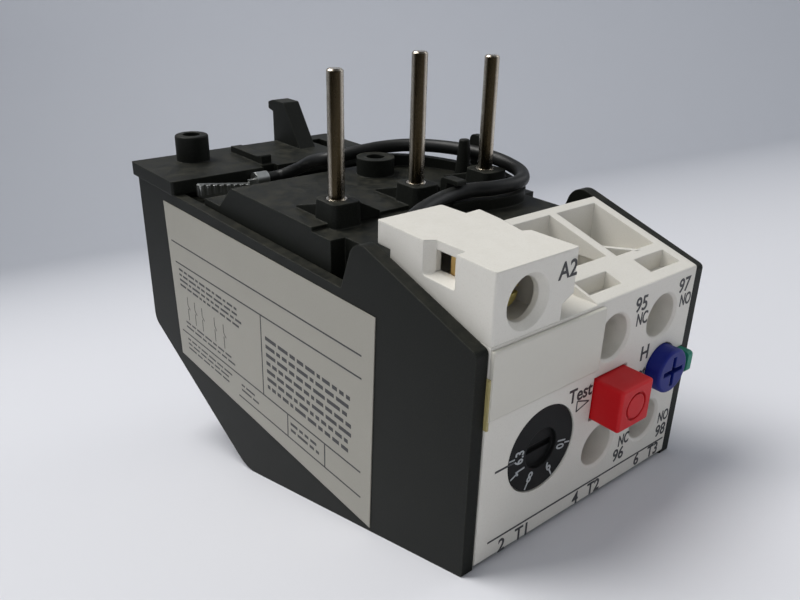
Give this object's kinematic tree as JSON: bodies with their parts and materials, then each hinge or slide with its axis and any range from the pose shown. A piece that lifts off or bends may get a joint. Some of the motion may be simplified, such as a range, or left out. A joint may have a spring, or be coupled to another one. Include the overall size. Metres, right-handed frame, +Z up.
{
  "type": "thermal overload relay",
  "caption": "Thermal overload relay that hangs under a contactor on round line pins, with setting dial, test button, reset knob and coil lead.",
  "frame": {"origin": "centre of the bounding box in X and Y, with Z = 0 at the base edges that it stands on", "axes": "+X to the right across the poles, +Y from the front panel to the rear, +Z up; the panel leans back 16.6 degrees because the base slopes"},
  "size_m": [0.0458, 0.1018, 0.0678],
  "materials": {
    "dark_casing": "fine-grained moulded thermoset, dark green-black",
    "dark_deck": "fine-grained moulded plastic, dark green-black",
    "light_terminal_block": "moulded plastic, warm light grey",
    "light_cover": "moulded plastic, warm light grey",
    "white_plate": "slightly glossy white plastic",
    "dial_black": "fine matt black plastic",
    "red_button": "glossy red plastic",
    "blue_knob": "satin blue plastic",
    "green_flag": "matte green plastic",
    "pin_metal": "tinned copper, turned",
    "terminal_steel": "zinc-plated steel",
    "contact_brass": "plain brass strip",
    "heater_alloy": "resistance alloy strip",
    "bimetal": "rolled bimetal strip",
    "pivot_steel": "ground steel",
    "inner_plastic": "natural moulded plastic",
    "lead_sheath": "black PVC insulation"
  },
  "bodies": {
    "housing": {"case_body": "dark_casing", "top_deck": "dark_deck", "latch_plate": "dark_casing", "front_cover": "light_cover", "marking_plate": "white_plate", "coil_terminal_block": "light_terminal_block", "coil_lead": "lead_sheath", "coil_tab": "terminal_steel", "coil_contact_strip": "contact_brass", "test_spring": "pivot_steel", "reset_spring": "pivot_steel", "mechanism_carrier": "inner_plastic", "pivot_pins": "pivot_steel", "line_pin_1": "pin_metal", "heater_winding_1": "heater_alloy", "bimetal_strip_1": "bimetal", "main_terminal_plate_1": "contact_brass", "line_pin_2": "pin_metal", "heater_winding_2": "heater_alloy", "bimetal_strip_2": "bimetal", "main_terminal_plate_2": "contact_brass", "line_pin_3": "pin_metal", "heater_winding_3": "heater_alloy", "bimetal_strip_3": "bimetal", "main_terminal_plate_3": "contact_brass", "terminal_contact_95": "contact_brass", "terminal_contact_96": "contact_brass", "terminal_contact_97": "contact_brass", "terminal_contact_98": "contact_brass"},
    "coil_clamp": {"coil_clamp": "terminal_steel"},
    "coil_screw": {"coil_screw": "terminal_steel"},
    "setting_dial": {"setting_dial": "dial_black"},
    "test_button": {"test_button": "red_button"},
    "reset_plunger": {"reset_plunger": "inner_plastic"},
    "reset_knob": {"reset_knob": "blue_knob"},
    "trip_indicator": {"trip_indicator": "green_flag"},
    "nc_contact_arm": {"nc_contact_arm": "contact_brass"},
    "no_contact_arm": {"no_contact_arm": "contact_brass"},
    "trip_lever": {"trip_lever": "inner_plastic"},
    "compensation_lever": {"compensation_lever": "inner_plastic"},
    "trip_slide": {"trip_slide": "inner_plastic"},
    "differential_slide": {"differential_slide": "inner_plastic"},
    "differential_lever": {"differential_lever": "inner_plastic"},
    "main_clamp_1": {"main_clamp_1": "terminal_steel"},
    "main_screw_1": {"main_screw_1": "terminal_steel"},
    "main_clamp_2": {"main_clamp_2": "terminal_steel"},
    "main_screw_2": {"main_screw_2": "terminal_steel"},
    "main_clamp_3": {"main_clamp_3": "terminal_steel"},
    "main_screw_3": {"main_screw_3": "terminal_steel"},
    "aux_clamp_95": {"aux_clamp_95": "terminal_steel"},
    "aux_screw_95": {"aux_screw_95": "terminal_steel"},
    "aux_clamp_96": {"aux_clamp_96": "terminal_steel"},
    "aux_screw_96": {"aux_screw_96": "terminal_steel"},
    "aux_clamp_97": {"aux_clamp_97": "terminal_steel"},
    "aux_screw_97": {"aux_screw_97": "terminal_steel"},
    "aux_clamp_98": {"aux_clamp_98": "terminal_steel"},
    "aux_screw_98": {"aux_screw_98": "terminal_steel"}
  },
  "joints": [
    {"name": "test_button_press", "type": "slide", "parent": "housing", "child": "test_button", "axis": [0, 0.9583, 0.2857], "range_m": [0, 0.002], "stiffness_N_per_m": 400, "springref_m": -0.0015, "deforming": ["test_spring"]},
    {"name": "reset_plunger_press", "type": "slide", "parent": "housing", "child": "reset_plunger", "axis": [0, 0.9583, 0.2857], "range_m": [0, 0.002], "stiffness_N_per_m": 400, "springref_m": -0.0015, "deforming": ["reset_spring"]},
    {"name": "reset_knob_turn", "type": "hinge", "parent": "reset_plunger", "child": "reset_knob", "pos_m": [0.0151, -0.04437, 0.01705], "axis": [0, -0.9583, -0.2857], "range_deg": [0, 90]},
    {"name": "setting_dial_turn", "type": "hinge", "parent": "housing", "child": "setting_dial", "pos_m": [-0.00961, -0.04328, 0.01341], "axis": [0, -0.9583, -0.2857], "range_deg": [0, 200]},
    {"name": "trip_lever_turn", "type": "hinge", "parent": "housing", "child": "trip_lever", "pos_m": [0.0084, -0.02554, 0.01515], "axis": [0, -0.2857, 0.9583], "range_deg": [0, 17.19]},
    {"name": "nc_contact_open", "type": "hinge", "parent": "housing", "child": "nc_contact_arm", "pos_m": [0.0027, -0.02013, 0.02114], "axis": [1, 0, 0], "range_deg": [0, 12]},
    {"name": "no_contact_close", "type": "hinge", "parent": "housing", "child": "no_contact_arm", "pos_m": [0.0135, -0.02013, 0.02114], "axis": [-1, 0, 0], "range_deg": [0, 12]},
    {"name": "trip_indicator_show", "type": "slide", "parent": "housing", "child": "trip_indicator", "axis": [0, -0.9583, -0.2857], "range_m": [0, 0.00115]},
    {"name": "trip_slide_push", "type": "slide", "parent": "housing", "child": "trip_slide", "axis": [1, 0, 0], "range_m": [0, 0.001]},
    {"name": "compensation_lever_turn", "type": "hinge", "parent": "housing", "child": "compensation_lever", "pos_m": [0.011, -0.01325, 0.03342], "axis": [0, 0.2857, -0.9583], "range_deg": [0, 8]},
    {"name": "differential_slide_push", "type": "slide", "parent": "housing", "child": "differential_slide", "axis": [1, 0, 0], "range_m": [0, 0.001]},
    {"name": "differential_lever_turn", "type": "hinge", "parent": "trip_slide", "child": "differential_lever", "pos_m": [0.0146, 0.00544, 0.03899], "axis": [0, -0.2857, 0.9583], "range_deg": [-6, 6]},
    {"name": "main_clamp_1_lift", "type": "slide", "parent": "housing", "child": "main_clamp_1", "axis": [0, -0.9583, -0.2857], "range_m": [0, 0.0024]},
    {"name": "main_screw_1_turn", "type": "hinge", "parent": "main_clamp_1", "child": "main_screw_1", "pos_m": [-0.015, 0.00362, 0.00589], "axis": [0, -0.9583, -0.2857], "range_deg": [0, 1236.3]},
    {"name": "main_clamp_2_lift", "type": "slide", "parent": "housing", "child": "main_clamp_2", "axis": [0, -0.9583, -0.2857], "range_m": [0, 0.0024]},
    {"name": "main_screw_2_turn", "type": "hinge", "parent": "main_clamp_2", "child": "main_screw_2", "pos_m": [0, 0.00362, 0.00589], "axis": [0, -0.9583, -0.2857], "range_deg": [0, 1236.3]},
    {"name": "main_clamp_3_lift", "type": "slide", "parent": "housing", "child": "main_clamp_3", "axis": [0, -0.9583, -0.2857], "range_m": [0, 0.0024]},
    {"name": "main_screw_3_turn", "type": "hinge", "parent": "main_clamp_3", "child": "main_screw_3", "pos_m": [0.015, 0.00362, 0.00589], "axis": [0, -0.9583, -0.2857], "range_deg": [0, 1236.3]},
    {"name": "aux_clamp_95_lift", "type": "slide", "parent": "housing", "child": "aux_clamp_95", "axis": [0, -0.9583, -0.2857], "range_m": [0, 0.002]},
    {"name": "aux_screw_95_turn", "type": "hinge", "parent": "aux_clamp_95", "child": "aux_screw_95", "pos_m": [0.0027, -0.03629, 0.02812], "axis": [0, -0.9583, -0.2857], "range_deg": [0, 1442]},
    {"name": "aux_clamp_96_lift", "type": "slide", "parent": "housing", "child": "aux_clamp_96", "axis": [0, -0.9583, -0.2857], "range_m": [0, 0.002]},
    {"name": "aux_screw_96_turn", "type": "hinge", "parent": "aux_clamp_96", "child": "aux_screw_96", "pos_m": [0.0027, -0.03146, 0.01192], "axis": [0, -0.9583, -0.2857], "range_deg": [0, 1442]},
    {"name": "aux_clamp_97_lift", "type": "slide", "parent": "housing", "child": "aux_clamp_97", "axis": [0, -0.9583, -0.2857], "range_m": [0, 0.002]},
    {"name": "aux_screw_97_turn", "type": "hinge", "parent": "aux_clamp_97", "child": "aux_screw_97", "pos_m": [0.0135, -0.03629, 0.02812], "axis": [0, -0.9583, -0.2857], "range_deg": [0, 1442]},
    {"name": "aux_clamp_98_lift", "type": "slide", "parent": "housing", "child": "aux_clamp_98", "axis": [0, -0.9583, -0.2857], "range_m": [0, 0.002]},
    {"name": "aux_screw_98_turn", "type": "hinge", "parent": "aux_clamp_98", "child": "aux_screw_98", "pos_m": [0.0135, -0.03146, 0.01192], "axis": [0, -0.9583, -0.2857], "range_deg": [0, 1442]},
    {"name": "coil_clamp_lift", "type": "slide", "parent": "housing", "child": "coil_clamp", "axis": [0, -0.9583, -0.2857], "range_m": [0, 0.0018]},
    {"name": "coil_screw_turn", "type": "hinge", "parent": "coil_clamp", "child": "coil_screw", "pos_m": [-0.015, -0.04343, 0.03632], "axis": [0, -0.9583, -0.2857], "range_deg": [0, 1298]}
  ],
  "couplings": [
    {"joint": "nc_contact_open", "follows": "trip_indicator_show", "rad_per_m": 170.94},
    {"joint": "no_contact_close", "follows": "trip_indicator_show", "rad_per_m": 170.94},
    {"joint": "trip_lever_turn", "follows": "trip_indicator_show", "rad_per_m": 256.41},
    {"joint": "compensation_lever_turn", "follows": "trip_slide_push", "rad_per_m": 129.9},
    {"joint": "main_screw_1_turn", "follows": "main_clamp_1_lift", "rad_per_m": 8976},
    {"joint": "main_screw_2_turn", "follows": "main_clamp_2_lift", "rad_per_m": 8976},
    {"joint": "main_screw_3_turn", "follows": "main_clamp_3_lift", "rad_per_m": 8976},
    {"joint": "aux_screw_95_turn", "follows": "aux_clamp_95_lift", "rad_per_m": 12566},
    {"joint": "aux_screw_96_turn", "follows": "aux_clamp_96_lift", "rad_per_m": 12566},
    {"joint": "aux_screw_97_turn", "follows": "aux_clamp_97_lift", "rad_per_m": 12566},
    {"joint": "aux_screw_98_turn", "follows": "aux_clamp_98_lift", "rad_per_m": 12566},
    {"joint": "coil_screw_turn", "follows": "coil_clamp_lift", "rad_per_m": 12566}
  ]
}
